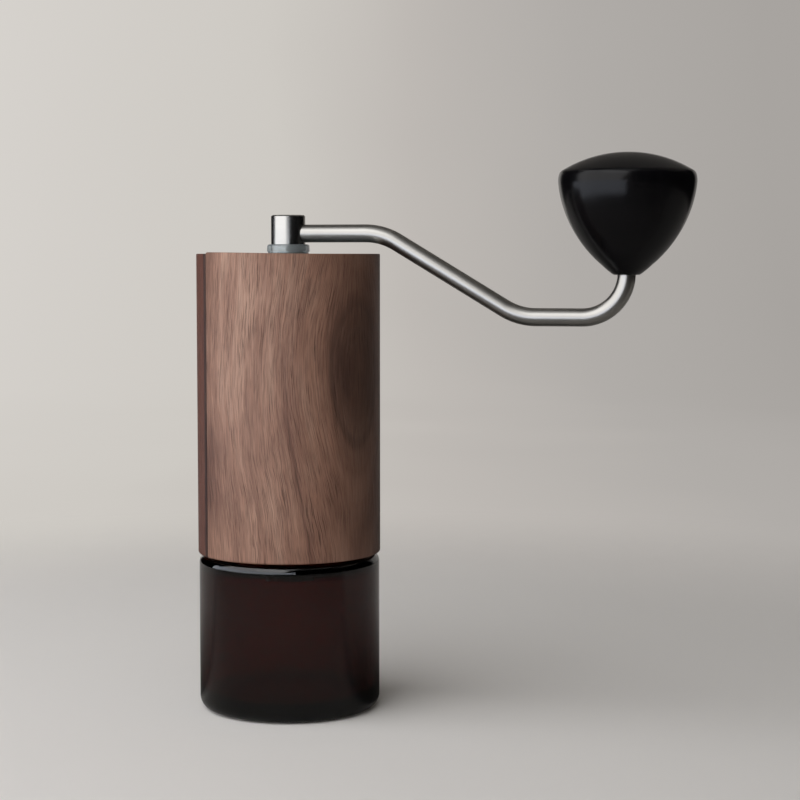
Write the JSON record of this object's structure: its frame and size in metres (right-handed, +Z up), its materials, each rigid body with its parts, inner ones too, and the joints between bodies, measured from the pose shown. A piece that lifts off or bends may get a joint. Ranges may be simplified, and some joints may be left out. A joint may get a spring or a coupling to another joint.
{
  "type": "hand crank coffee grinder",
  "caption": "Slim hand coffee grinder: wood-veneered steel body, bent steel crank with a turned knob, conical burrs, and a screw-on amber glass jar.",
  "frame": {"origin": "centre of the glass jar's foot, on the surface the grinder stands on", "axes": "+Z up along the crank's axle; +X from the axle towards the knob at rest"},
  "size_m": [0.1623, 0.06, 0.1815],
  "materials": {
    "veneer_sleeve": "satin walnut veneer",
    "body_tube": "drawn stainless tube",
    "inner_frame": "moulded black polymer",
    "upper_bridge": "moulded black polymer",
    "outer_burr": "hardened steel, ground",
    "burr_circlip": "blackened spring steel",
    "upper_bearing_outer_race": "ground bearing steel",
    "upper_bearing_shields": "pressed steel",
    "lower_bearing_outer_race": "ground bearing steel",
    "lower_bearing_shields": "pressed steel",
    "axle": "turned stainless",
    "drive_pin": "ground steel pin",
    "upper_bearing_inner_race": "ground bearing steel",
    "lower_bearing_inner_race": "ground bearing steel",
    "upper_spring_washer": "stamped steel",
    "lower_spring_washer": "stamped steel",
    "burr_spring": "drawn spring wire",
    "upper_bearing_balls": "polished steel balls",
    "upper_bearing_cage": "pressed brass",
    "lower_bearing_balls": "polished steel balls",
    "lower_bearing_cage": "pressed brass",
    "inner_burr": "hardened steel, ground",
    "adjustment_dial": "moulded black polymer",
    "dial_nut": "turned brass",
    "click_balls": "polished steel balls",
    "click_springs": "drawn spring wire",
    "crank_hub": "turned stainless",
    "crank_rod": "brushed stainless rod",
    "lid_circlip": "blackened spring steel",
    "knob_clip": "stamped spring steel",
    "knob": "ebonised turned wood, satin lacquer",
    "knob_bush": "acetal bush",
    "lid": "clear moulded polymer",
    "jar_seal": "silicone",
    "glass_jar": "dark amber pressed glass"
  },
  "bodies": {
    "housing": {"veneer_sleeve": "veneer_sleeve", "body_tube": "body_tube", "inner_frame": "inner_frame", "upper_bridge": "upper_bridge", "outer_burr": "outer_burr", "burr_circlip": "burr_circlip", "upper_bearing_outer_race": "upper_bearing_outer_race", "upper_bearing_shields": "upper_bearing_shields", "lower_bearing_outer_race": "lower_bearing_outer_race", "lower_bearing_shields": "lower_bearing_shields"},
    "axle": {"axle": "axle", "drive_pin": "drive_pin", "upper_bearing_inner_race": "upper_bearing_inner_race", "lower_bearing_inner_race": "lower_bearing_inner_race", "upper_spring_washer": "upper_spring_washer", "burr_spring": "burr_spring"},
    "upper_balls": {"upper_bearing_balls": "upper_bearing_balls", "upper_bearing_cage": "upper_bearing_cage"},
    "lower_balls": {"lower_bearing_balls": "lower_bearing_balls", "lower_bearing_cage": "lower_bearing_cage"},
    "burr": {"inner_burr": "inner_burr", "lower_spring_washer": "lower_spring_washer"},
    "dial": {"adjustment_dial": "adjustment_dial", "dial_nut": "dial_nut", "click_balls": "click_balls", "click_springs": "click_springs"},
    "crank": {"crank_hub": "crank_hub", "crank_rod": "crank_rod", "lid_circlip": "lid_circlip", "knob_clip": "knob_clip"},
    "knob": {"knob": "knob", "knob_bush": "knob_bush"},
    "lid": {"lid": "lid"},
    "seal": {"jar_seal": "jar_seal"},
    "jar": {"glass_jar": "glass_jar"}
  },
  "joints": [
    {"name": "crank_turn", "type": "hinge", "parent": "housing", "child": "axle", "pos_m": [0, 0, 0.1], "axis": [0, 0, 1], "continuous": true},
    {"name": "upper_balls_turn", "type": "hinge", "parent": "housing", "child": "upper_balls", "pos_m": [0, 0, 0.14], "axis": [0, 0, 1], "continuous": true},
    {"name": "lower_balls_turn", "type": "hinge", "parent": "housing", "child": "lower_balls", "pos_m": [0, 0, 0.097], "axis": [0, 0, 1], "continuous": true},
    {"name": "crank_lift", "type": "slide", "parent": "axle", "child": "crank", "axis": [0, 0, 1], "range_m": [0, 0.035]},
    {"name": "lid_lift", "type": "slide", "parent": "housing", "child": "lid", "axis": [0, 0, 1], "range_m": [0, 0.035]},
    {"name": "knob_spin", "type": "hinge", "parent": "crank", "child": "knob", "pos_m": [0.1105, 0, 0.16], "axis": [0, 0, 1], "continuous": true},
    {"name": "dial_turn", "type": "hinge", "parent": "burr", "child": "dial", "pos_m": [0, 0, 0.06], "axis": [0, 0, 1], "range_deg": [0, 1080]},
    {"name": "burr_travel", "type": "slide", "parent": "axle", "child": "burr", "axis": [0, 0, 1], "range_m": [0, 0.003], "deforming": ["burr_spring"]},
    {"name": "jar_turn", "type": "hinge", "parent": "seal", "child": "jar", "pos_m": [0, 0, 0.06], "axis": [0, 0, 1], "range_deg": [-1260, 0]},
    {"name": "jar_drop", "type": "slide", "parent": "housing", "child": "seal", "axis": [0, 0, 1], "range_m": [-0.014, 0]}
  ],
  "couplings": [
    {"joint": "upper_balls_turn", "follows": "crank_turn", "ratio": 0.381},
    {"joint": "lower_balls_turn", "follows": "crank_turn", "ratio": 0.381},
    {"joint": "lid_lift", "follows": "crank_lift", "ratio": 1},
    {"joint": "dial_turn", "follows": "burr_travel", "rad_per_m": 6283.2},
    {"joint": "jar_turn", "follows": "jar_drop", "rad_per_m": 1570.8}
  ]
}
